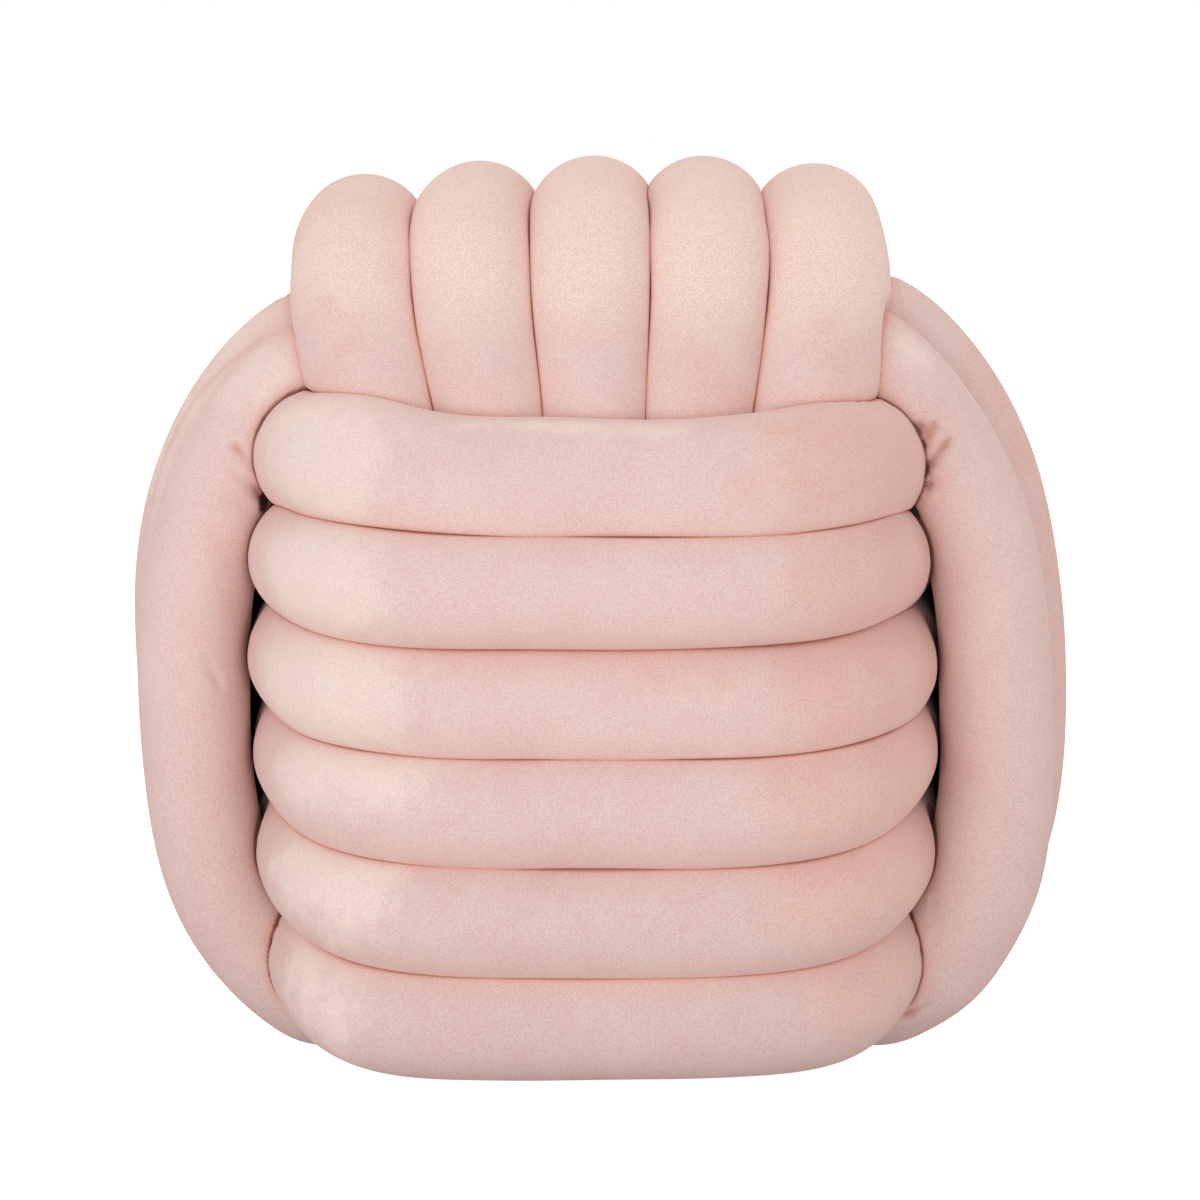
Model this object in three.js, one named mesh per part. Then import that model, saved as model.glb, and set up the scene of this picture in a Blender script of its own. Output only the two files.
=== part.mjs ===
// A woven pouf: stuffed velvet tubes, each closed into a ring, in three bands woven through one another.
// Every ring is its own solid. Units are millimetres, +Z is up, and the pouf stands on z = 0.
import * as THREE from 'three';

// Sizes of the tube and of the whole weave
const TUBE_RADIUS = 32.5;       // free radius of a stuffed tube
const CLEARANCE = 0.3;          // between two tubes that press on each other
const CENTRE_HEIGHT = 207;      // centre of the weave above the floor, which flattens the lowest tubes

// Fineness of the solids
const SIDES = 12;               // corners of a tube's section
const SECTIONS = 26;            // sections round a ring
const FINE_STEPS = 240;         // points of a centreline that distances are measured to
const BEND_SHARE = 0.4;         // share of the sections that goes to the bends, the rest is spaced evenly
const DRAW_BACK_ROUNDS = 8;     // times that corners are drawn back from the neighbouring tubes
const FACET_STEPS = 6;          // steps along a facet's edge between the places whose clearance is measured

// The three bands. A band's rings are stacked along one axis. Each ring shows in its two outer runs, which
// lie across the "out" axis, and passes inside the next band in its two inner runs, across the "in" axis.
// A pair of values is for the positive and the negative side of the axis.
//   rings                  number of rings in the stack
//   stack, out, in         axes of the stack, of the outer runs and of the inner runs
//   outReach, inReach      centre to centreline of the runs
//   dip, dipEdge           how far the crossing band presses an inner run in, and half the width it presses on
//   power                  squareness of the loop on either outer side: 2 is an ellipse
//   outPitch, inPitch      spacing of the rings on the outer and on the inner runs
//   gatherFrom, gatherTo   shares of the reach between which the spacing changes from inner to outer
//   outCrown, inCrown      how much less the first and last ring of the stack reach than the middle ones
//   shift                  how far the stack lies off the centre of the weave
const BANDS = [
  {
    name: 'top_ring', rings: 5, stack: 'x', out: 'z', in: 'y',
    outReach: [228, 185], inReach: [191, 191], dip: [13.5, 13.5], dipEdge: 140, power: [2.6, 2.2],
    outPitch: 59.8, inPitch: 46.4, gatherFrom: 0.5, gatherTo: 1, outCrown: [10.5, 3], inCrown: [7.5, 7.5],
    shift: 0, colour: 0xe9cec4,
  },
  {
    name: 'side_ring', rings: 5, stack: 'y', out: 'x', in: 'z',
    outReach: [209, 209], inReach: [200, 197], dip: [40, 66], dipEdge: 147, power: [2.7, 2.7],
    outPitch: 54.8, inPitch: 45.4, gatherFrom: 0.25, gatherTo: 1, outCrown: [5, 5], inCrown: [12.5, 12.5],
    shift: 0, colour: 0xe2c3bb,
  },
  {
    name: 'front_ring', rings: 6, stack: 'z', out: 'y', in: 'x',
    outReach: [215, 215], inReach: [151, 151], dip: [5.5, 5.5], dipEdge: 140, power: [3.5, 3.5],
    outPitch: 54, inPitch: 45.4, gatherFrom: 0, gatherTo: 1, outCrown: [4, 4], inCrown: [0, 0],
    shift: -4, colour: 0xe5c6bf,
  },
];

const signedPower = (value, power) => Math.sign(value) * Math.abs(value) ** power;

// Point of a ring's centreline at an angle round the loop. Place 0 is the first ring of the stack.
function centrePoint(band, place, angle) {
  const middle = (band.rings - 1) / 2;
  const fromMiddle = place - middle;
  const crown = (fromMiddle / middle) ** 2;
  const outSide = Math.cos(angle) > 0 ? 0 : 1;
  const inSide = Math.sin(angle) > 0 ? 0 : 1;
  const outReach = band.outReach[outSide] - band.outCrown[outSide] * crown;
  const inReach = band.inReach[inSide] - band.inCrown[inSide] * crown;
  const power = band.power[outSide];
  const outward = outReach * signedPower(Math.cos(angle), 2 / power);
  const pressed = 1 - THREE.MathUtils.smoothstep(Math.abs(outward), 0.45 * band.dipEdge, band.dipEdge);
  const inward = inReach * signedPower(Math.sin(angle), 2 / power)
    - Math.sign(Math.sin(angle)) * band.dip[inSide] * pressed;
  const gather = THREE.MathUtils.smoothstep(Math.abs(outward) / outReach, band.gatherFrom, band.gatherTo);
  const pitch = THREE.MathUtils.lerp(band.inPitch, band.outPitch, gather);
  const point = new THREE.Vector3();
  point[band.stack] = fromMiddle * pitch + band.shift;
  point[band.out] = outward;
  point[band.in] = inward;
  return point;
}

// Angles that divide a band's middle loop into count steps, from the loop's highest point or from its right
// side. The steps are even by length, or as far as bendShare says by turn, so that bends get more of them.
function loopAngles(band, count, bendShare) {
  const dense = FINE_STEPS * 8;
  const first = band.in === 'z' ? Math.PI / 2 : 0;
  const angleAt = (index) => first + (index / dense) * 2 * Math.PI;
  const points = Array.from({ length: dense }, (_, index) => (
    centrePoint(band, (band.rings - 1) / 2, angleAt(index))));
  const steps = points.map((point, index) => points[(index + 1) % dense].clone().sub(point));
  const lengths = steps.map((step) => step.length());
  const turns = steps.map((step, index) => step.angleTo(steps[(index + 1) % dense]));
  const sum = (values) => values.reduce((total, value) => total + value, 0);
  const [lengthSum, turnSum] = [sum(lengths), sum(turns)];
  const angles = [];
  let passed = 0;
  for (let index = 0; index < dense && angles.length < count; index += 1) {
    const share = (1 - bendShare) * lengths[index] / lengthSum + bendShare * turns[index] / turnSum;
    while (angles.length < count && passed + share >= angles.length / count) {
      const part = (angles.length / count - passed) / share;
      angles.push(angleAt(index + part));
    }
    passed += share;
  }
  return angles;
}

// Distance from a point to the nearest of some points, given as one flat array of x, y and z.
function distanceTo(flat, point) {
  let least = Infinity;
  for (let index = 0; index < flat.length; index += 3) {
    const dx = flat[index] - point.x;
    const dy = flat[index + 1] - point.y;
    const dz = flat[index + 2] - point.z;
    least = Math.min(least, dx * dx + dy * dy + dz * dz);
  }
  return Math.sqrt(least);
}

// How far a tube reaches from a point of its centreline in one direction: its free radius, or the plane
// halfway to each other centreline, or the floor.
function reach(from, direction, others) {
  let limit = TUBE_RADIUS;
  const away = new THREE.Vector3();
  for (let index = 0; index < others.length; index += 3) {
    away.fromArray(others, index).sub(from);
    const along = away.dot(direction);
    if (along > 0) limit = Math.min(limit, away.lengthSq() / (2 * along) - CLEARANCE / 2);
  }
  if (direction.z < 0) limit = Math.min(limit, (from.z + CENTRE_HEIGHT) / -direction.z);
  return limit;
}

// Triangles of a ring of sections, as indices of its corners.
function ringTriangles() {
  const triangles = [];
  for (let section = 0; section < SECTIONS; section += 1) {
    for (let side = 0; side < SIDES; side += 1) {
      const here = section * SIDES;
      const there = ((section + 1) % SECTIONS) * SIDES;
      const beside = (side + 1) % SIDES;
      triangles.push([here + side, there + side, there + beside]);
      triangles.push([here + side, there + beside, here + beside]);
    }
  }
  return triangles;
}

// Evenly spread places on a triangle, as shares of its three corners
const FACET_PLACES = [];
for (let first = 0; first <= FACET_STEPS; first += 1) {
  for (let second = 0; second <= FACET_STEPS - first; second += 1) {
    const third = FACET_STEPS - first - second;
    FACET_PLACES.push([first, second, third].map((share) => share / FACET_STEPS));
  }
}

// One stuffed ring as a closed mesh. Its corners lie as far out as reach says, and are then drawn back until
// no facet lies nearer to another tube's centreline than to its own.
function ringGeometry(band, sections, own, others) {
  const stackAxis = new THREE.Vector3();
  stackAxis[band.stack] = 1;
  const centres = [];
  const directions = [];
  sections.forEach((from, index) => {
    const next = sections[(index + 1) % SECTIONS];
    const previous = sections[(index + SECTIONS - 1) % SECTIONS];
    const tangent = next.clone().sub(previous).normalize();
    const across = stackAxis.clone().addScaledVector(tangent, -stackAxis.dot(tangent)).normalize();
    const outward = tangent.clone().cross(across);
    for (let side = 0; side < SIDES; side += 1) {
      const angle = ((side + 0.5) / SIDES) * 2 * Math.PI;
      centres.push(from);
      directions.push(outward.clone().multiplyScalar(Math.cos(angle)).addScaledVector(across, Math.sin(angle)));
    }
  });
  const reaches = centres.map((from, corner) => reach(from, directions[corner], others));
  const corners = () => centres.map((from, corner) => (
    from.clone().addScaledVector(directions[corner], reaches[corner])));
  const triangles = ringTriangles();
  const sample = new THREE.Vector3();
  for (let round = 0; round < DRAW_BACK_ROUNDS; round += 1) {
    const at = corners();
    const pull = new Array(reaches.length).fill(0);
    for (const triangle of triangles) {
      for (const shares of FACET_PLACES) {
        sample.set(0, 0, 0);
        triangle.forEach((corner, index) => sample.addScaledVector(at[corner], shares[index]));
        const excess = (distanceTo(own, sample) - distanceTo(others, sample) + CLEARANCE) / 2;
        for (const corner of triangle) pull[corner] = Math.max(pull[corner], excess);
      }
    }
    pull.forEach((amount, corner) => { reaches[corner] -= amount; });
  }
  const geometry = new THREE.BufferGeometry();
  geometry.setAttribute('position', new THREE.Float32BufferAttribute(corners().flatMap((point) => (
    point.toArray())), 3));
  geometry.setIndex(triangles.flat());
  geometry.computeVertexNormals();
  return geometry;
}

const group = new THREE.Group();
group.position.z = CENTRE_HEIGHT;

const rings = BANDS.flatMap((band) => {
  const fine = loopAngles(band, FINE_STEPS, 0);
  const coarse = loopAngles(band, SECTIONS, BEND_SHARE);
  return Array.from({ length: band.rings }, (_, place) => ({
    band,
    name: `${band.name}_${place + 1}`,
    line: fine.flatMap((angle) => centrePoint(band, place, angle).toArray()),
    sections: coarse.map((angle) => centrePoint(band, place, angle)),
  }));
});

// Points of the other rings' centrelines that lie near enough to press on a ring.
function pressingOn(ring) {
  const points = rings.filter((other) => other !== ring).flatMap((other) => other.line);
  const near = [];
  const point = new THREE.Vector3();
  for (let index = 0; index < points.length; index += 3) {
    point.fromArray(points, index);
    if (distanceTo(ring.line, point) < 2.5 * TUBE_RADIUS) near.push(...point.toArray());
  }
  return near;
}

for (const ring of rings) {
  const geometry = ringGeometry(ring.band, ring.sections, ring.line, pressingOn(ring));
  const material = new THREE.MeshStandardMaterial({ color: ring.band.colour, roughness: 0.9, metalness: 0 });
  const mesh = new THREE.Mesh(geometry, material);
  mesh.name = ring.name;
  group.add(mesh);
}

export default group;
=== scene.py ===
import math
import random

import bpy
import numpy as np
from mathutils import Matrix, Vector
from mathutils.kdtree import KDTree


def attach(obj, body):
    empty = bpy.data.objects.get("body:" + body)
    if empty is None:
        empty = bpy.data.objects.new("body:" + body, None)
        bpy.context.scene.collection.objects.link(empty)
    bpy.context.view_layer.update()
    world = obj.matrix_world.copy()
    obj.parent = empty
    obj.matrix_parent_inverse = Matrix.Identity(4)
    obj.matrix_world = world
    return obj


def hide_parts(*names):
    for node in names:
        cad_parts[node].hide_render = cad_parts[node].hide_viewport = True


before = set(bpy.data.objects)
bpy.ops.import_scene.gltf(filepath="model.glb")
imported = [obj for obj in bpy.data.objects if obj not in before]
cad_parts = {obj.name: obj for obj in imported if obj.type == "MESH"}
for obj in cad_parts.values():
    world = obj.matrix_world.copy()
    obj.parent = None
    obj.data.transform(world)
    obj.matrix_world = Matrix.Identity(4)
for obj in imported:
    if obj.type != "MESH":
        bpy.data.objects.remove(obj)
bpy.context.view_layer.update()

X, Y, Z = 0, 1, 2
MM = 0.001
CENTRE_HEIGHT = 207 * MM           # centre of the weave above the floor

# Camera. Pixels are those of the 1200 x 1200 picture.
IMAGE_SIDE = 1200
CAMERA_DISTANCE = 2.052            # from the centre of the weave
CAMERA_ELEVATION = math.radians(13.13)
CAMERA_TURN = math.radians(-0.81)
FOCAL_PIXELS = 3799.4
WEAVE_CENTRE_PIXEL = (599.4, 644.1)
SENSOR = 36.0                      # width in the camera's own millimetres


def make_camera():
    forward = Vector((math.sin(CAMERA_TURN) * math.cos(CAMERA_ELEVATION),
                      math.cos(CAMERA_TURN) * math.cos(CAMERA_ELEVATION),
                      -math.sin(CAMERA_ELEVATION)))
    camera = bpy.data.objects.new("camera", bpy.data.cameras.new("camera"))
    camera.location = Vector((0, 0, CENTRE_HEIGHT)) - forward * CAMERA_DISTANCE
    camera.rotation_euler = forward.to_track_quat("-Z", "Y").to_euler()
    camera.data.sensor_width = SENSOR
    camera.data.lens = FOCAL_PIXELS / IMAGE_SIDE * SENSOR
    camera.data.shift_x = (IMAGE_SIDE / 2 - WEAVE_CENTRE_PIXEL[0]) / IMAGE_SIDE
    camera.data.shift_y = (WEAVE_CENTRE_PIXEL[1] - IMAGE_SIDE / 2) / IMAGE_SIDE
    bpy.context.scene.collection.objects.link(camera)
    bpy.context.scene.camera = camera


make_camera()

# The three bands of the weave, in mm. A band's rings are stacked along one axis. Each ring shows in its two
# outer runs, which lie across the out axis, and passes inside the next band in its two inner runs, across
# the inn axis. In the reaches, crowns, dip and power, a pair is for the positive and the negative side of
# an axis.
#   rings                 number of rings in the stack
#   radius, squash        free radius of a tube, and the share by which it is narrower straight outward
#   stack, out, inn       axes of the stack, of the outer runs and of the inner runs
#   out_reach, in_reach   centre to centreline of the runs
#   out_crown, in_crown   how much less the first and last ring of the stack reach than the middle ones
#   dip, dip_edge         how far the crossing band presses an inner run in, and half the width it presses on
#   power                 squareness of the loop on either outer side: 2 is an ellipse
#   out_pitch, in_pitch   spacing of the rings on the outer and on the inner runs
#   gather                shares of the reach between which the spacing changes from inner to outer
#   shift                 how far the stack lies off the centre of the weave
#   hidden                shares of the reach between which a ring comes out of the weave into view
BANDS = {
    "top_ring": dict(
        rings=5, radius=35, squash=0, stack=X, out=Z, inn=Y, out_reach=(228, 185), in_reach=(191, 191),
        out_crown=(10.5, 3), in_crown=(7.5, 7.5), dip=(13.5, 13.5), dip_edge=140, power=(2.6, 2.2),
        out_pitch=59.8, in_pitch=46.4, gather=(0.5, 1.0), shift=0, hidden=(0.50, 0.66)),
    "side_ring": dict(
        rings=5, radius=33, squash=0.14, stack=Y, out=X, inn=Z, out_reach=(209, 209), in_reach=(200, 197),
        out_crown=(5, 5), in_crown=(12.5, 12.5), dip=(40, 66), dip_edge=147, power=(2.7, 2.7),
        out_pitch=54.8, in_pitch=45.4, gather=(0.25, 1.0), shift=0, hidden=(0.50, 0.66)),
    "front_ring": dict(
        rings=6, radius=34, squash=0, stack=Z, out=Y, inn=X, out_reach=(215, 215), in_reach=(151, 151),
        out_crown=(4, 4), in_crown=(0, 0), dip=(5.5, 5.5), dip_edge=140, power=(3.5, 4.0),
        out_pitch=54, in_pitch=45.4, gather=(0.0, 1.0), shift=-4, hidden=(0.30, 0.42)),
}
CROSSING = {"side_ring": "front_ring", "front_ring": "side_ring"}   # bands whose rings meet in plain view

# How each outer run differs from its band, in mm. q is the place along the run, from -1 to 1.
#   side                     the side of the out axis that the run lies on
#   shift, tilt, bow, wave   move it along the stack by shift + tilt q + bow q^2 + wave q^3
#   reach, lean              move it outward by reach + lean q
#   low, high                lengthen its two ends
RUNS = {
    # band, ring, side      shift  tilt   bow  wave reach  lean   low  high
    ("front_ring", 1, "-"): (   3,  1.5,   -3, -0.5,    2,  0.5, -12.5, -11.5),
    ("front_ring", 2, "-"): (-0.5,  2.5,    5, -1.5,  2.5,    2,   -7,   -8),
    ("front_ring", 3, "-"): (   2,  2.5,  1.5,    0,  1.5,  5.5, -6.5, -9.5),
    ("front_ring", 4, "-"): (-1.5,   -1,    1, -0.5, -2.5,    3,   -4,  -10),
    ("front_ring", 5, "-"): ( 5.5,  1.5,   -1, -0.5,  4.5,  0.5, -7.5, -16.5),
    ("front_ring", 6, "-"): (  -6,    0,  9.5,   -2,  0.5,  2.5,  -10, -17.5),
    ("top_ring", 1, "+"): (-5.5,   -7,    2,  1.5, -2.5,    2,    2, -0.5),
    ("top_ring", 2, "+"): (  -6,   -2,  6.5,  0.5,   -3,  0.5,  3.5,    0),
    ("top_ring", 3, "+"): (  -4,    0,    5, -0.5, -2.5, -0.5,    1,    0),
    ("top_ring", 4, "+"): (  -5,  0.5,  3.5, -2.5, -0.5,  2.5,  2.5,    0),
    ("top_ring", 5, "+"): (-5.5,  0.5,    6,    0,  2.5,  6.5,  1.5,  0.5),
    ("side_ring", 1, "-"): (   0,    6, -3.5,  0.5,  1.8,   -2,    8,    8),
    ("side_ring", 1, "+"): (  -7,  4.5, -3.5,  0.5, -0.3, -8.5,    3,   19),
    ("side_ring", 2, "-"): (   0,   -1, -1.5,    0,    7,    2,    0,    5),
    ("side_ring", 2, "+"): ( 3.5,    2,    1,    0,  9.4, -8.5,    0,   19),
}
# The other outer runs differ by seeded chance values up to these, in the same order.
LOOSE = (1.5, 1.5, 3, 1, 2, 1.5, 1.5, 1.5)

# Centrelines
LINE_POINTS = 800                  # points of a centreline that other rings are measured to
DENSE_STEPS = 8                    # steps of the loop formula for each even step of a centreline
FULL_DIP = 0.45                    # share of dip_edge within which the dip is full
RUN_FROM_TO = (0.2, 0.8)           # shares of the reach between which a run takes on its differences


def smoothstep(value, low, high):
    part = np.clip((value - low) / (high - low), 0, 1)
    return part * part * (3 - 2 * part)


def signed_power(value, power):
    return np.sign(value) * np.abs(value) ** power


def run_differences(band_name, place, side):
    key = (band_name, place + 1, side)
    if key in RUNS:
        return RUNS[key]
    rng = random.Random(f"{band_name} {place} {side}")
    return [rng.uniform(-most, most) for most in LOOSE]


def centreline(band_name, place, count):
    """Evenly spaced points of a ring's centreline, from the centre of the weave, and its length. Place 0 is
    the first of the stack."""
    band = BANDS[band_name]
    dense = count * DENSE_STEPS
    angle = np.arange(dense) / dense * 2 * np.pi + np.pi / 2
    middle = (band["rings"] - 1) / 2
    from_middle = place - middle
    crown = (from_middle / middle) ** 2
    out_side = np.where(np.cos(angle) > 0, 0, 1)
    in_side = np.where(np.sin(angle) > 0, 0, 1)
    out_reach = (np.array(band["out_reach"]) - np.array(band["out_crown"]) * crown)[out_side]
    in_reach = (np.array(band["in_reach"]) - np.array(band["in_crown"]) * crown)[in_side]
    power = np.array(band["power"])[out_side]
    outward = out_reach * signed_power(np.cos(angle), 2 / power)
    pressed = 1 - smoothstep(np.abs(outward), FULL_DIP * band["dip_edge"], band["dip_edge"])
    inward = in_reach * signed_power(np.sin(angle), 2 / power)
    inward -= np.sign(np.sin(angle)) * np.array(band["dip"])[in_side] * pressed
    gather = smoothstep(np.abs(outward) / out_reach, *band["gather"])
    pitch = band["in_pitch"] + (band["out_pitch"] - band["in_pitch"]) * gather
    stack = from_middle * pitch + band["shift"]
    q = inward / in_reach
    for side, sign in (("+", 1), ("-", -1)):
        shift, tilt, bow, wave, reach, lean, low, high = run_differences(band_name, place, side)
        share = smoothstep(sign * outward / out_reach, *RUN_FROM_TO)
        stack = stack + share * (shift + tilt * q + bow * q ** 2 + wave * q ** 3)
        outward = outward + sign * share * (reach + lean * q)
        inward = inward + share * q ** 2 * np.where(q > 0, high, -low)
    points = np.zeros((dense, 3))
    points[:, band["stack"]] = stack
    points[:, band["out"]] = outward
    points[:, band["inn"]] = inward
    closed = np.vstack([points, points[:1]]) * MM
    passed = np.concatenate([[0], np.cumsum(np.linalg.norm(np.diff(closed, axis=0), axis=1))])
    even = np.arange(count) / count * passed[-1]
    return np.stack([np.interp(even, passed, closed[:, axis]) for axis in range(3)], axis=1), passed[-1]


def section_frames(line, stack):
    """Unit directions across a closed centreline: outward, and down the stack."""
    tangent = np.roll(line, -1, axis=0) - np.roll(line, 1, axis=0)
    tangent /= np.linalg.norm(tangent, axis=1)[:, None]
    across = tangent * tangent[:, stack][:, None] - np.eye(3)[stack]
    across /= np.linalg.norm(across, axis=1)[:, None]
    return np.cross(tangent, across), across


# Sections
CLEARANCE = 0.04 * MM              # between two tubes that press on each other
SOFTNESS = 60                      # the higher, the sharper the corner between a pressed side and a free one
BESIDE = 2.8                       # tube radii within which another tube is looked at
PRESSING = 2.6                     # tube radii within which a point of it can press
BESIDE_STRIDE = 8                  # every so many points are enough to see how near it is
LEAST_ALONG = 1e-6                 # stands for a direction that never meets the plane or the floor
MOST_REACH = 1                     # keeps its reach from being endless


def free_radius(band, turn):
    """A tube's free radius by the angle from straight outward: a squashed tube is narrower outward."""
    return band["radius"] * MM * (1 - band["squash"] * np.cos(turn) ** 2)


def reaches(line, directions, others, radius):
    """How far the tube reaches from each centreline point in each direction: its free radius, or halfway to
    each other tube, or the floor, with the corners between them rounded off."""
    total = np.broadcast_to(radius, directions.shape[:2]) ** -SOFTNESS
    widest = radius.max()
    for other in others:
        apart = np.linalg.norm(line[:, None] - other[None, ::BESIDE_STRIDE], axis=2).min(axis=1)
        for section in np.nonzero(apart < BESIDE * widest)[0]:
            away = other - line[section]
            square = (away ** 2).sum(axis=1)
            near = square < (PRESSING * widest) ** 2
            if not near.any():
                continue
            along = np.maximum(directions[section] @ away[near].T, LEAST_ALONG)
            halfway = (square[near] / (2 * along)).min(axis=1) - CLEARANCE / 2
            total[section] += np.minimum(halfway, MOST_REACH) ** -SOFTNESS
    down = np.maximum(-directions[..., Z], LEAST_ALONG)
    floor = np.minimum((line[:, Z] + CENTRE_HEIGHT)[:, None] / down, MOST_REACH)
    total += floor ** -SOFTNESS
    return total ** (-1 / SOFTNESS)


# Puckers and creases that show in the cloth. Each is deepest where it starts and fades towards its end.
# ring, start and end in mm, width and depth in mm
CREASES = [
    ("side_ring_1", (160, -145, 350), (164, -146, 353), 3.4, 6.0),
    ("side_ring_1", (161, -144, 341), (171, -145, 357), 2.2, 7.0),
    ("side_ring_1", (163, -143, 329), (176, -146, 346), 2.4, 8.0),
    ("side_ring_1", (166, -145, 333), (178, -145, 350), 2.2, 2.2),
    ("side_ring_1", (163, -143, 320), (172, -145, 330), 2.2, 5.0),
    ("side_ring_1", (-180, -139, 340), (-170, -136, 329), 2.4, 4.0),
    ("side_ring_1", (-165, -130, 311), (-182, -139, 331), 2.8, 4.5),
    ("side_ring_1", (159, -148, 47), (173, -149, 56), 2.4, 7.0),
    ("side_ring_1", (159, -149, 55), (167, -151, 62), 2.2, 5.5),
    ("side_ring_1", (173, -144, 108), (187, -151, 112), 2.2, 2.0),
    ("side_ring_1", (173, -145, 104), (188, -151, 107), 2.2, 1.6),
    ("side_ring_1", (173, -147, 101), (188, -152, 103), 2.2, 1.6),
    ("side_ring_1", (173, -150, 90), (183, -152, 92), 2.4, 1.8),
    ("side_ring_1", (-208, -142, 222), (-216, -140, 234), 1.8, 1.8),
    ("side_ring_1", (-190, -137, 217), (-198, -140, 236), 2.6, 1.4),
    ("side_ring_2", (157, -58, 407), (183, -52, 391), 2.4, 1.8),
    ("top_ring_2", (-76, -139, 423), (-86, -137, 417), 2.4, 1.6),
    ("top_ring_2", (-74, -114, 440), (-86, -116, 431), 2.4, 1.6),
]
CREASE_FADE = 0.75                 # share of its depth that a crease loses towards its end
CREASE_LIP = 0.4                   # how much of a low lip it raises beside it

# Where a tube is fuller than elsewhere: ring, place in mm, radius in mm, height in mm
BULGES = [
    ("side_ring_1", (221, -127, 104), 44, 4.5),
    ("side_ring_1", (192, -138, 56), 30, 3.5),
]

# Where the pile is brushed cream or peach, painted highlights along rims and a lit edge, painted shade where
# peach lies in shadow and behind a rim, and painted dark holes where three tubes meet.
# ring, start and end in mm, radius in mm, tone, strength
PATCHES = [
    ("front_ring_6", (-152, -190, 354), (-125, -212, 345), 34, "cream_and_highlight", 1.0),
    # Painted highlight: a light band along the upper edge of the top front ring, which faces the light from
    # above
    ("front_ring_6", (-60, -222, 369), (40, -226, 368), 9, "cream_and_highlight", 0.7),
    # Peach pile on the right ends of the front rings, made darker as painted shade of the side away from the
    # light
    ("front_ring_6", (112, -222, 350), (185, -160, 340), 36, "peach_and_shade", 1.0),
    ("front_ring_6", (66, -240, 337), (76, -240, 336), 9, "peach_and_shade", 0.7),
    ("front_ring_5", (-146, -205, 292), (-125, -218, 288), 34, "cream_and_highlight", 1.0),
    ("front_ring_5", (120, -226, 292), (185, -160, 290), 34, "peach_and_shade", 0.9),
    ("front_ring_4", (-152, -195, 240), (-120, -220, 236), 36, "cream_and_highlight", 1.0),
    ("front_ring_4", (28, -243, 248), (65, -241, 248), 13, "peach_and_shade", 0.45),
    ("front_ring_4", (116, -228, 238), (185, -160, 236), 34, "peach_and_shade", 1.0),
    ("front_ring_3", (-150, -200, 190), (-90, -228, 192), 22, "cream_and_highlight", 0.8),
    ("front_ring_3", (108, -225, 194), (185, -160, 186), 34, "peach_and_shade", 1.0),
    ("front_ring_2", (-146, -200, 140), (-116, -222, 136), 30, "cream_and_highlight", 0.8),
    ("front_ring_2", (112, -226, 139), (185, -160, 137), 32, "peach_and_shade", 0.8),
    ("front_ring_1", (124, -220, 86), (180, -160, 84), 28, "peach_and_shade", 0.6),
    ("front_ring_1", (-146, -190, 90), (-130, -210, 70), 30, "cream_and_highlight", 0.7),
    ("top_ring_5", (120, -165, 394), (128, -176, 384), 26, "peach_and_shade", 0.45),
    ("top_ring_4", (56, -188, 384), (64, -192, 376), 26, "peach_and_shade", 0.5),
    ("top_ring_2", (-66, -188, 382), (-58, -190, 376), 22, "peach_and_shade", 0.35),
    ("top_ring_1", (-136, -150, 410), (-126, -166, 394), 28, "peach_and_shade", 0.35),
    ("side_ring_1", (-175, -128, 374), (-165, -130, 380), 24, "cream_and_highlight", 0.7),
    ("side_ring_1", (150, -126, 388), (158, -128, 384), 12, "cream_and_highlight", 0.9),
    ("side_ring_2", (-180, -62, 386), (-224, -62, 320), 24, "cream_and_highlight", 0.7),
    # Painted shade: peach on the first side ring, in the shadowed places beside the front rings
    ("side_ring_1", (-184, -142, 290), (-180, -144, 250), 12, "peach_and_shade", 0.5),
    ("side_ring_1", (166, -138, 350), (170, -140, 325), 12, "peach_and_shade", 0.6),
    # Painted shade: darker peach on the second side ring, where it shows behind the rim of the first
    ("side_ring_2", (205, -62, 380), (240, -62, 240), 24, "peach_and_shade", 0.6),
    ("side_ring_2", (240, -62, 240), (220, -62, 100), 24, "peach_and_shade", 0.6),
    # Painted highlight: light rims along the outline of the first side ring
    ("side_ring_1", (-168, -102, 386), (-196, -108, 357), 5, "cream_and_highlight", 0.65),
    ("side_ring_1", (-196, -108, 357), (-224, -112, 297), 5, "cream_and_highlight", 0.65),
    ("side_ring_1", (-224, -112, 297), (-234, -115, 236), 5, "cream_and_highlight", 0.5),
    ("side_ring_1", (164, -109, 390), (185, -114, 369), 5, "cream_and_highlight", 0.65),
    ("side_ring_1", (185, -114, 369), (210, -114, 328), 5, "cream_and_highlight", 0.65),
    ("side_ring_1", (210, -114, 328), (227, -119, 267), 5, "cream_and_highlight", 0.65),
    ("side_ring_1", (227, -119, 267), (233, -121, 205), 5, "cream_and_highlight", 0.65),
    ("side_ring_1", (233, -121, 205), (231, -124, 145), 5, "cream_and_highlight", 0.65),
    ("side_ring_2", (-170, -78, 385), (-191, -77, 369), 4, "shade", 0.75),
    ("side_ring_2", (-191, -77, 369), (-208, -74, 351), 4, "shade", 0.75),
    ("side_ring_2", (-208, -74, 351), (-220, -74, 329), 4, "shade", 0.75),
    ("side_ring_2", (-220, -74, 329), (-229, -75, 300), 4, "shade", 0.7),
    ("side_ring_2", (-229, -75, 300), (-236, -71, 270), 4, "shade", 0.6),
    # Painted shade: dark holes where three tubes meet
    ("side_ring_1", (-166, -127, 311), (-167, -128, 307), 4, "hole_shade", 1.0),
    ("side_ring_1", (160, -130, 309), (161, -131, 306), 4, "hole_shade", 1.0),
]


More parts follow.
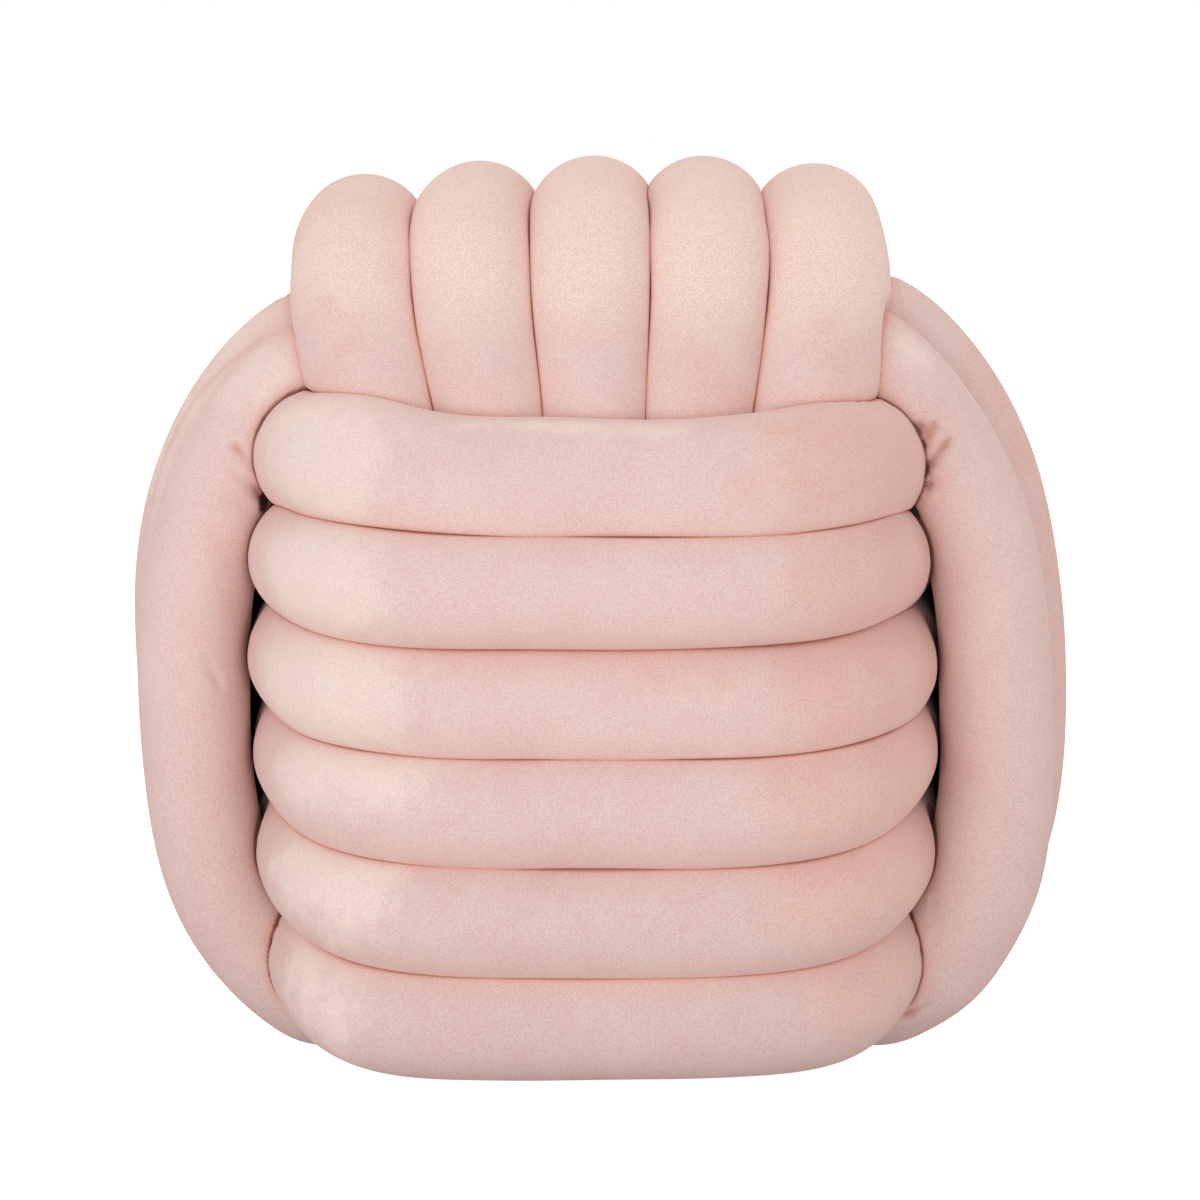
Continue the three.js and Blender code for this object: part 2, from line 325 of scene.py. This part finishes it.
def along_segment(points, start, end):
    """Distance from points to a segment, and how far along it they are, from 0 to 1."""
    start, end = np.array(start) * MM, np.array(end) * MM
    run = end - start
    part = np.clip((points - start) @ run / (run @ run), 0, 1)
    return np.linalg.norm(points - start - part[..., None] * run, axis=-1), part


def creases(name, points):
    """How deep each point of a ring's surface is drawn in by its creases, with a low lip beside them."""
    depth_here = np.zeros(points.shape[:-1])
    for ring, start, end, width, depth in CREASES:
        if ring == name:
            distance, part = along_segment(points, start, end)
            square = (distance / (width * MM)) ** 2
            profile = (1 - CREASE_LIP * square) * np.exp(-square / 2)
            depth_here += depth * MM * (1 - CREASE_FADE * part) * profile
    return depth_here


def bulges(name, points):
    """How much further out each point of a ring's surface lies where the tube is fuller."""
    height_here = np.zeros(points.shape[:-1])
    for ring, place, radius, height in BULGES:
        if ring == name:
            distance = np.linalg.norm(points - np.array(place) * MM, axis=-1)
            height_here += height * MM * np.exp(-(distance / (radius * MM)) ** 2)
    return height_here


def tone(name, points, wanted):
    """How much of a tone each point of a ring's surface takes from its patches."""
    here = np.zeros(points.shape[:-1])
    for ring, start, end, radius, kind, strength in PATCHES:
        if ring == name and kind == wanted:
            distance, _ = along_segment(points, start, end)
            here = np.maximum(here, strength * np.exp(-(distance / (radius * MM)) ** 2))
    return here


# Uneven filling: long waves along and round a tube
LUMP_WAVES = 7
LUMP_HEIGHT = 0.5 * MM
WAVES_ALONG = (3, 16)              # fewest and most
WAVES_ROUND = (-2, -1, 0, 1, 2)
FREE_FROM_TO = (0.02, 0.12)        # share pressed in, from which it fades and at which it ends


def lumps(name, along, turn):
    rng = random.Random(name)
    total = np.zeros(np.broadcast(along, turn).shape)
    for _ in range(LUMP_WAVES):
        waves_along = rng.randint(*WAVES_ALONG)
        waves_round = rng.choice(WAVES_ROUND)
        phase = rng.uniform(0, 2 * math.pi)
        total = total + np.cos(2 * np.pi * waves_along * along + waves_round * turn + phase)
    return total * LUMP_HEIGHT / math.sqrt(LUMP_WAVES)


# Fineness of the meshes: sections along a ring, and corners round a section
FINENESS = {
    "top_ring": (300, 96), "side_ring": (250, 104), "front_ring": (320, 94),
    "side_ring_1": (640, 150), "side_ring_3": (200, 76), "side_ring_4": (200, 76), "side_ring_5": (200, 76),
}
TURN_SAMPLES = 60                  # samples for each corner, to space the corners by
PARTING_DENSITY = 4                # extra corners where two outer runs part
PARTING_WIDTH = math.radians(8)


def section_turns(band, sides):
    """Angles round a section, from straight inward on, closest together where two outer runs part."""
    parting = math.pi / 2 - math.acos(band["out_pitch"] / 2 / band["radius"])
    dense = np.linspace(-math.pi, math.pi, TURN_SAMPLES * sides)
    density = 1 + PARTING_DENSITY * np.exp(-((np.abs(dense) - parting) / PARTING_WIDTH) ** 2)
    passed = np.cumsum(density)
    return np.interp(np.arange(sides) / sides * passed[-1], passed - density[0], dense)


# Marks that the material reads, kept on the corners
SEAM_REACH = 4 * MM                # how far the painted shade of a seam reaches from where tubes meet
CONTACT_REACH = 6 * MM             # the same for the painted shade line where a side ring and a front ring meet
FULL_CREASE = 6 * MM               # depth of a crease that takes as much painted seam shade as a seam
FULL_FOLD = 3.5 * MM               # depth of a crease that is fully shaded
HOLE_SHADE = (0.3, 0.6)                  # strength of a hole's patch, from its edge to its full painted shade
TOP_PILE_AND_HIGHLIGHT_FROM_TO = (385 * MM, 440 * MM)   # heights between which the top rings take the painted highlight of their lit tops and their stronger grain
TURNED_IN = (-0.6, -0.2)           # how far outward a surface faces, from hidden to in view
FLANK = (-0.3, 0.0)                # how far along the stack it faces, the same way on a free flank


def gap_beside(corners, others):
    """How far each corner is from the free surface of the nearest other ring, in metres."""
    tree = KDTree(sum(len(points) for points, _ in others))
    radii = []
    for points, radius in others:
        for point in points:
            tree.insert((*point[:2], point[2] + CENTRE_HEIGHT), len(radii))
            radii.append(radius)
    tree.balance()
    found = [tree.find(corner) for corner in corners.reshape(-1, 3)]
    return np.array([distance - radii[index] for _, index, distance in found]).reshape(corners.shape[:2])


def nearness(corners, others, reach):
    """1 where a corner lies on another ring, fading away from there."""
    return np.exp(-np.maximum(gap_beside(corners, others), 0) / reach)


def contact_shade(band_name, name, corners, rings):
    """The painted shade line where a side ring and a front ring meet, and the shade painted behind a rim."""
    shade = tone(name, corners, "shade")
    if band_name not in CROSSING:
        return shade
    crossed = [ring for other, ring in rings.items() if other.startswith(CROSSING[band_name])]
    return np.maximum(nearness(corners, crossed, CONTACT_REACH), shade)


def hidden_share(band, place, corners, turn):
    """1 where a ring lies inside the weave, 0 where it shows: its inner runs, and the inner side of its outer
    runs except on the free flank of the first and the last ring. Where it is 1 the cloth takes a painted
    shade, near black."""
    outer = np.abs(corners - (0, 0, CENTRE_HEIGHT))[..., band["out"]] / (max(band["out_reach"]) * MM)
    flank = {0: np.sin(turn), band["rings"] - 1: -np.sin(turn)}.get(place, -1)
    turned_in = (1 - smoothstep(np.cos(turn), *TURNED_IN)) * (1 - smoothstep(flank, *FLANK))
    return np.maximum(1 - smoothstep(outer, *band["hidden"]), turned_in[None, :])


# Rings. The cloth's places along and round a tube are its UVs, in metres.
GIRTH = 215 * MM
CLOTH_UV = "cloth"
FLOOR_SNAP = 0.5 * MM              # corners lower than this lie on the floor


def ring_name(band_name, place):
    return f"{band_name}_{place + 1}"


def ring_shape(band_name, place, rings):
    """Corners of a ring as (sections, sides, 3), their places along and round the tube, and their marks.
    rings holds the points of every ring's centreline and its radius, by name."""
    name = ring_name(band_name, place)
    band = BANDS[band_name]
    sections, sides = FINENESS.get(name, FINENESS[band_name])
    line, length = centreline(band_name, place, sections)
    outward, across = section_frames(line, band["stack"])
    turn = section_turns(band, sides)
    directions = (outward[:, None] * np.cos(turn)[None, :, None]
                  + across[:, None] * np.sin(turn)[None, :, None])
    others = [ring for other, ring in rings.items() if other != name]
    radius = free_radius(band, turn)
    reach = reaches(line, directions, [points for points, _ in others], radius)
    pressed = 1 - reach / radius
    free = 1 - smoothstep(pressed, *FREE_FROM_TO)
    reach = reach + free * lumps(name, (np.arange(sections) / sections)[:, None], turn[None, :])
    corners = line[:, None] + directions * reach[..., None]
    corners[..., Z] += CENTRE_HEIGHT
    corners += directions * (free * bulges(name, corners))[..., None]
    drawn_in = creases(name, corners)
    corners -= directions * drawn_in[..., None]
    corners[..., Z] = np.where(corners[..., Z] < FLOOR_SNAP, 0, corners[..., Z])
    hole_shade = smoothstep(tone(name, corners, "hole_shade"), *HOLE_SHADE)
    marks = {
        # Painted shade where the cloth is pressed against another tube
        "pressed_shade": pressed,
        # Painted shade beside seams and in creases
        "seam_shade": np.maximum(nearness(corners, others, SEAM_REACH), np.clip(drawn_in / FULL_CREASE, 0, 1)),
        # Painted shade where a side ring and a front ring meet, and behind a rim
        "contact": contact_shade(band_name, name, corners, rings),
        "fold": np.clip(drawn_in / FULL_FOLD, 0, 1),
        # Painted shade, near black, inside the weave and in the holes
        "hidden": np.maximum(hidden_share(band, place, corners, turn), hole_shade),
        # The tops of the top rings, for their painted highlight and their stronger grain
        "top_pile_and_highlight": smoothstep(corners[..., Z], *TOP_PILE_AND_HIGHLIGHT_FROM_TO) * (band_name == "top_ring"),
        # Cream pile and its painted highlights
        "cream_and_highlight": tone(name, corners, "cream_and_highlight"),
        # Peach pile and its painted shade
        "peach_and_shade": tone(name, corners, "peach_and_shade"),
    }
    along = np.arange(sections + 1) / sections * length
    around = np.append(turn + math.pi, 2 * math.pi) / (2 * math.pi) * GIRTH
    return corners, along, around, marks


def ring_object(name, corners, along, around, marks):
    """A closed tube through the corners, with their places along and round it as UVs."""
    sections, sides = corners.shape[:2]
    here, beside = np.meshgrid(np.arange(sections), np.arange(sides), indexing="ij")
    here, beside = here.ravel(), beside.ravel()
    ahead, over = (here + 1) % sections, (beside + 1) % sides
    pairs = ((here, beside), (ahead, beside), (ahead, over), (here, over))
    quads = np.stack([section * sides + side for section, side in pairs], axis=1)
    mesh = bpy.data.meshes.new(name)
    mesh.from_pydata(corners.reshape(-1, 3).tolist(), [], quads.tolist())
    u = along[np.stack([here, here + 1, here + 1, here], axis=1)]
    v = around[np.stack([beside, beside, beside + 1, beside + 1], axis=1)]
    uv = mesh.uv_layers.new(name=CLOTH_UV)
    uv.data.foreach_set("uv", np.stack([u.ravel(), v.ravel()], axis=1).ravel())
    for mark, values in marks.items():
        attribute = mesh.attributes.new(mark, "FLOAT", "POINT")
        attribute.data.foreach_set("value", values.ravel().astype(np.float32))
    mesh.polygons.foreach_set("use_smooth", [True] * len(mesh.polygons))
    mesh.validate()
    mesh.update()
    piece = bpy.data.objects.new(name, mesh)
    bpy.context.scene.collection.objects.link(piece)
    return piece


# Colours of the pile
ROSE = (0.738, 0.517, 0.499)
# Painted shade: the lower rows are a darker rose, as less light reaches them
SHADED_LOW_ROSE = (0.607, 0.415, 0.400)
# Painted highlight: the tops of the top rings are lighter and warmer, as the light from above falls on them
TOP_HIGHLIGHT = (0.99, 0.735, 0.64)
# Cream pile, also laid on as painted highlight along rims and on a lit upper edge
CREAM_AND_HIGHLIGHT = (0.845, 0.725, 0.655)
# Peach pile, darkened so that it also serves as painted shade
PEACH_AND_SHADE = (0.74, 0.395, 0.33)
DARK_STROKE = (0.78, 0.51, 0.49)
LIGHT_STROKE = (0.90, 0.735, 0.665)
DARK_PILE = (0.74, 0.43, 0.37)
LIGHT_PILE = (1.0, 0.93, 0.88)
# Painted shade: colours where the cloth is pressed, drawn in, beside a seam and out of the light
SEAM_SHADE = (0.80, 0.45, 0.37)
SEAM_SHADE_LINE = (0.78, 0.34, 0.25)
CREASE_SHADE = (0.60, 0.24, 0.17)
CONTACT_SHADE = (0.62, 0.33, 0.27)
# Painted shade line where a side ring and a front ring meet
CONTACT_SHADE_LINE = (0.26, 0.10, 0.075)
# Painted shade, near black, for cloth inside the weave
HIDDEN_SHADE = (0.035, 0.010, 0.008)

# Colours that a mark brings in, in the order in which they are laid on: mark, from, to, most, colour.
# The pile's grain lies over the first ones and under the others.
# Painted shade beside where tubes meet and in creases, and a painted shade line in the seam itself
UNDER_GRAIN = [
    ("seam_shade", 0.0, 1.0, 0.85, SEAM_SHADE),
    ("seam_shade", 0.80, 1.0, 0.8, SEAM_SHADE_LINE),
]
# Painted shade where tubes are pressed, in creases and where a side ring and a front ring meet
OVER_GRAIN = [
    ("pressed_shade", 0.05, 0.40, 0.75, CREASE_SHADE),
    ("contact", 0.30, 0.95, 0.42, CONTACT_SHADE),
    ("fold", 0.25, 1.0, 0.8, CONTACT_SHADE),
    ("contact", 0.80, 1.0, 0.9, CONTACT_SHADE_LINE),
]

# Noises: scale, detail, roughness
RAGGED_NOISE = (60.0, 6.0, 0.7)
LOOSE_NOISE = (9.0, 2.0, 0.5)
STROKE_NOISE = (38.0, 3.0, 0.6)
PILE_NOISE = (1300.0, 2.0, 0.7)
RIB_NOISE = (14.0, 2.0, 0.5)
# What is read from them: from, to, and the share or strength that these become where it isn't 0 to 1
LOOSE_SPREAD = (0.52, 0.70, 0.0, 0.6)
STROKE_SPREAD = (0.3, 0.7)
PILE_SPREAD = (0.35, 0.65)
RIB_SPREAD = (0.4, 0.7, 0.1, 0.7)

# Where the pile changes. Heights and depths are in metres.
LOW_FROM_TO = (0.02, 0.28)         # heights between which it turns from low rose, darker as painted shade, to rose
UNSEEN_FROM_TO = (-0.12, 0.0)      # depths between which loose patches come in, behind the placed ones
RAGGEDNESS = 1.3                   # how much the noise adds to the mark of a patch
PATCH_SPREAD = (0.1, 0.8)          # ragged mark, from no patch to a full one
PATCH_LIMIT = (0.0, 0.25)          # plain mark, from where no patch may show to where it may show in full
CREAM_OFFSET = (0, 0, 0)           # each tone reads another part of the noise
PEACH_OFFSET = (3.1, 1.7, 5.3)

# Finish of the velvet
STROKE_SHARE = 0.2
GRAIN_SPREAD = (0.0, 1.0, 0.30, 0.60)    # strength of the pile's grain, from common pile to that of the top rings' tops
ROUGHNESS_SPREAD = (0.0, 1.0, 0.82, 0.95)
SPECULAR = 0.08
SHEEN = 0.22
SHEEN_ROUGHNESS = 0.5
SHEEN_TINT = (1.0, 0.66, 0.57)
WAVE_PERIOD = 0.31416              # length of one wave of the wave texture at scale 1
RIB_PITCH = 1.9 * MM
RIB_WAVER = {"Distortion": 0.6, "Detail": 1.0, "Detail Scale": 0.02}
BUMP_STRENGTH = 0.4
BUMP_DEPTH = 0.3 * MM


def add_node(tree, kind, inputs=None, **settings):
    """A node whose inputs are linked, where the value is a socket, or set."""
    node = tree.nodes.new(kind)
    for key, value in settings.items():
        setattr(node, key, value)
    for key, value in (inputs or {}).items():
        if isinstance(value, bpy.types.NodeSocket):
            tree.links.new(value, node.inputs[key])
        else:
            node.inputs[key].default_value = value
    return node


def math_node(tree, operation, first, second):
    return add_node(tree, "ShaderNodeMath", {0: first, 1: second}, operation=operation).outputs[0]


def mix_colour(tree, factor, first, second):
    node = add_node(tree, "ShaderNodeMix", {"Factor": factor}, data_type="RGBA")
    for socket, value in ((node.inputs[6], first), (node.inputs[7], second)):
        if isinstance(value, bpy.types.NodeSocket):
            tree.links.new(value, socket)
        else:
            socket.default_value = (*value, 1)
    return node.outputs[2]


def spread(tree, value, low, high, to_low=0.0, to_high=1.0):
    """value taken from low..high to to_low..to_high, with soft ends."""
    limits = {"Value": value, "From Min": low, "From Max": high, "To Min": to_low, "To Max": to_high}
    return add_node(tree, "ShaderNodeMapRange", limits, interpolation_type="SMOOTHSTEP").outputs["Result"]


def noise(tree, vector, scale, detail, roughness):
    inputs = {"Vector": vector, "Scale": scale, "Detail": detail, "Roughness": roughness}
    return add_node(tree, "ShaderNodeTexNoise", inputs).outputs["Fac"]


def mark(tree, name):
    return add_node(tree, "ShaderNodeAttribute", attribute_name=name).outputs["Fac"]


def patch(tree, name, place, offset, unseen):
    """A tone's share: its marked patches with ragged edges, and loose patches of it on the unseen sides."""
    moved = add_node(tree, "ShaderNodeVectorMath", {0: place, 1: offset}, operation="ADD").outputs[0]
    centred = math_node(tree, "SUBTRACT", noise(tree, moved, *RAGGED_NOISE), 0.5)
    ragged = math_node(tree, "MULTIPLY", centred, RAGGEDNESS)
    marked = spread(tree, math_node(tree, "ADD", mark(tree, name), ragged), *PATCH_SPREAD)
    marked = math_node(tree, "MULTIPLY", marked, spread(tree, mark(tree, name), *PATCH_LIMIT))
    loose = spread(tree, noise(tree, moved, *LOOSE_NOISE), *LOOSE_SPREAD)
    return math_node(tree, "MAXIMUM", marked, math_node(tree, "MULTIPLY", loose, unseen))


def lay_on(tree, colour, rows):
    """colour with those of some rows laid on where their marks show."""
    for name, low, high, most, over in rows:
        colour = mix_colour(tree, spread(tree, mark(tree, name), low, high, 0.0, most), colour, over)
    return colour


def pile_colour(tree, place, stroke, pile):
    axes = add_node(tree, "ShaderNodeSeparateXYZ", {0: place}).outputs
    unseen = spread(tree, axes["Y"], *UNSEEN_FROM_TO)
    # Painted shade: darker rose towards the floor
    colour = mix_colour(tree, spread(tree, axes["Z"], *LOW_FROM_TO), SHADED_LOW_ROSE, ROSE)
    # Painted highlight on the tops of the top rings
    colour = mix_colour(tree, mark(tree, "top_pile_and_highlight"), colour, TOP_HIGHLIGHT)
    # Cream pile, with the painted highlights placed among its patches
    colour = mix_colour(tree, patch(tree, "cream_and_highlight", place, CREAM_OFFSET, unseen), colour, CREAM_AND_HIGHLIGHT)
    # Peach pile, with the painted shade placed among its patches
    colour = mix_colour(tree, patch(tree, "peach_and_shade", place, PEACH_OFFSET, unseen), colour, PEACH_AND_SHADE)
    colour = lay_on(tree, colour, UNDER_GRAIN)
    colour = mix_colour(tree, STROKE_SHARE, colour, mix_colour(tree, stroke, DARK_STROKE, LIGHT_STROKE))
    grain = mix_colour(tree, spread(tree, pile, *PILE_SPREAD), DARK_PILE, LIGHT_PILE)
    colour = mix_colour(tree, spread(tree, mark(tree, "top_pile_and_highlight"), *GRAIN_SPREAD), colour, grain)
    colour = lay_on(tree, colour, OVER_GRAIN)
    # Painted shade inside the weave and in the holes
    return mix_colour(tree, mark(tree, "hidden"), colour, HIDDEN_SHADE)


def knit_rib(tree, place):
    """Fine ridges round the tube, which show in some places more than in others."""
    cloth = add_node(tree, "ShaderNodeUVMap", uv_map=CLOTH_UV).outputs["UV"]
    inputs = {"Vector": cloth, "Scale": WAVE_PERIOD / RIB_PITCH, **RIB_WAVER}
    rib = add_node(tree, "ShaderNodeTexWave", inputs, bands_direction="X").outputs["Fac"]
    return math_node(tree, "MULTIPLY", rib, spread(tree, noise(tree, place, *RIB_NOISE), *RIB_SPREAD))


def velvet():
    material = bpy.data.materials.new("velvet")
    material.use_nodes = True
    tree = material.node_tree
    tree.nodes.clear()
    place = add_node(tree, "ShaderNodeTexCoord").outputs["Object"]
    stroke = spread(tree, noise(tree, place, *STROKE_NOISE), *STROKE_SPREAD)
    pile = noise(tree, place, *PILE_NOISE)
    height = math_node(tree, "ADD", pile, knit_rib(tree, place))
    bump = add_node(tree, "ShaderNodeBump", {
        "Height": height, "Strength": BUMP_STRENGTH, "Distance": BUMP_DEPTH})
    shader = add_node(tree, "ShaderNodeBsdfPrincipled", {
        "Base Color": pile_colour(tree, place, stroke, pile),
        "Roughness": spread(tree, stroke, *ROUGHNESS_SPREAD),
        "Normal": bump.outputs["Normal"], "Specular IOR Level": SPECULAR,
        "Sheen Weight": SHEEN, "Sheen Roughness": SHEEN_ROUGHNESS, "Sheen Tint": (*SHEEN_TINT, 1)})
    output = add_node(tree, "ShaderNodeOutputMaterial")
    tree.links.new(shader.outputs["BSDF"], output.inputs["Surface"])
    return material


def make_rings():
    material = velvet()
    order = [(band, place) for band in BANDS for place in range(BANDS[band]["rings"])]
    rings = {ring_name(band, place): (centreline(band, place, LINE_POINTS)[0], BANDS[band]["radius"] * MM)
             for band, place in order}
    for band, place in order:
        name = ring_name(band, place)
        piece = ring_object(f"velvet_{name}", *ring_shape(band, place, rings))
        piece.data.materials.append(material)
        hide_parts(name)
        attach(piece, "root")


make_rings()

# Floor and light. A light's strength says how bright it makes the centre of the weave, beside a sky of 1.
WHITE = (1, 1, 1)
FLOOR_SIDE = 8.0
FLOOR_DROP = 0.2 * MM              # keeps the floor from lying in the underside of the rings
FLOOR_COLOUR = (0.75, 0.73, 0.72)
FLOOR_GLOW = 0.9
SKY_SEEN = 1.0                     # what the camera sees behind the pouf
SKY_LIGHT = 0.52                   # what lights the pouf
# name, place, size across, strength, colour
LIGHTS = [
    ("key", (-0.3, -3.2, 0.6), 2.4, 0.24, WHITE),
    ("left", (-2.1, -2.4, 0.8), 1.8, 0.16, WHITE),
    ("right", (2.1, -2.4, 0.8), 1.8, 0.06, (1, 0.97, 0.95)),
    ("low", (0.0, -2.6, 0.15), 1.6, 0.13, (1, 0.97, 0.95)),
    ("top", (0.0, 0.8, 2.5), 2.0, 0.29, (1, 0.96, 0.89)),
    ("left_rim", (-2.7, 0.5, 0.7), 1.6, 0.07, WHITE),
    ("right_rim", (2.7, 0.5, 0.7), 1.6, 0.14, WHITE),
]


def white_for_camera(tree, node_kind, other, strength):
    """White of the given strength where the camera looks, and the other shader for all other rays."""
    white = add_node(tree, node_kind, {"Color": (*WHITE, 1), "Strength": strength}).outputs[0]
    seen = add_node(tree, "ShaderNodeLightPath").outputs["Is Camera Ray"]
    inputs = {0: seen, 2: white}
    if other is not None:
        inputs[1] = other
    return add_node(tree, "ShaderNodeMixShader", inputs).outputs[0]


def make_floor():
    half = FLOOR_SIDE / 2
    corners = [(-half, -half, 0), (half, -half, 0), (half, half, 0), (-half, half, 0)]
    mesh = bpy.data.meshes.new("floor")
    mesh.from_pydata(corners, [], [(0, 1, 2, 3)])
    floor = bpy.data.objects.new("floor", mesh)
    floor.location.z = -FLOOR_DROP
    material = bpy.data.materials.new("floor_white")
    material.use_nodes = True
    tree = material.node_tree
    tree.nodes.clear()
    matt = add_node(tree, "ShaderNodeBsdfDiffuse", {"Color": (*FLOOR_COLOUR, 1)}).outputs[0]
    glow = white_for_camera(tree, "ShaderNodeEmission", None, FLOOR_GLOW)
    both = add_node(tree, "ShaderNodeAddShader", {0: matt, 1: glow}).outputs[0]
    output = add_node(tree, "ShaderNodeOutputMaterial")
    tree.links.new(both, output.inputs["Surface"])
    mesh.materials.append(material)
    bpy.context.scene.collection.objects.link(floor)


def area_light(name, place, size, strength, colour):
    aim = Vector((0, 0, CENTRE_HEIGHT)) - Vector(place)
    data = bpy.data.lights.new(name, "AREA")
    data.shape = "DISK"
    data.size = size
    data.energy = strength * (math.pi * aim.length) ** 2
    data.color = colour
    light = bpy.data.objects.new(name, data)
    light.location = place
    light.rotation_euler = aim.to_track_quat("-Z", "Y").to_euler()
    bpy.context.scene.collection.objects.link(light)


def make_light():
    world = bpy.data.worlds.new("studio")
    world.use_nodes = True
    tree = world.node_tree
    tree.nodes.clear()
    sky = add_node(tree, "ShaderNodeBackground", {"Color": (*WHITE, 1), "Strength": SKY_LIGHT}).outputs[0]
    output = add_node(tree, "ShaderNodeOutputWorld")
    seen = white_for_camera(tree, "ShaderNodeBackground", sky, SKY_SEEN)
    tree.links.new(seen, output.inputs["Surface"])
    bpy.context.scene.world = world
    for row in LIGHTS:
        area_light(*row)
    bpy.context.scene.view_settings.view_transform = "Standard"


make_floor()
make_light()
